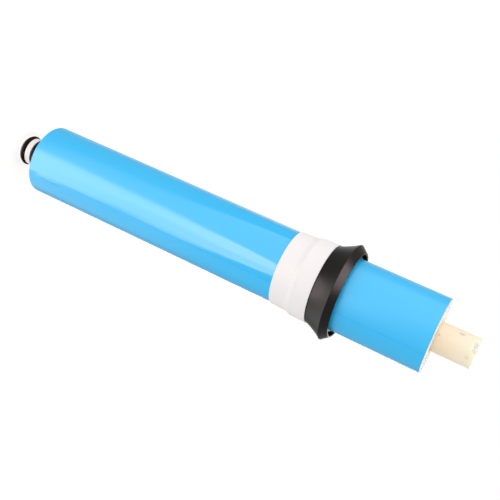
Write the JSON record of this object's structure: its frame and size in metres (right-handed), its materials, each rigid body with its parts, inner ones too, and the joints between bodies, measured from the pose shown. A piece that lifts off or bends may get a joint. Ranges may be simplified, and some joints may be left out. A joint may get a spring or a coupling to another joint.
{
  "type": "spiral-wound reverse osmosis membrane element",
  "caption": "Slim blue-wrapped spiral-wound membrane cartridge on a perforated core tube, with a double O-ring spigot, a taped black lip seal and a plain stub",
  "frame": {"origin": "centre of the flat tip face of the O-ring spigot, which is the lowest face", "axes": "+Z along the element's axis from the O-ring spigot up to the feed end; -Y is the side that faces the camera in the picture"},
  "size_m": [0.0565, 0.0566, 0.298],
  "materials": {
    "tube_plastic": "moulded cream ABS, semi-gloss",
    "plug_plastic": "moulded off-white ABS",
    "carrier_fabric": "stiff white knitted polyester",
    "membrane_film": "smooth coated film on a non-woven backing",
    "spacer_net": "extruded polypropylene net",
    "blue_tape": "glossy sky-blue vinyl tape",
    "seal_rubber": "satin black moulded rubber",
    "white_tape": "satin white tape",
    "o_ring_rubber": "smooth black rubber"
  },
  "bodies": {
    "root": {"permeate_tube": "tube_plastic", "tube_end_plug": "plug_plastic", "permeate_carrier": "carrier_fabric", "membrane_leaf": "membrane_film", "feed_spacer": "spacer_net", "outer_wrap": "blue_tape", "brine_seal": "seal_rubber", "retaining_band": "white_tape", "outer_o_ring": "o_ring_rubber", "inner_o_ring": "o_ring_rubber"}
  },
  "joints": []
}
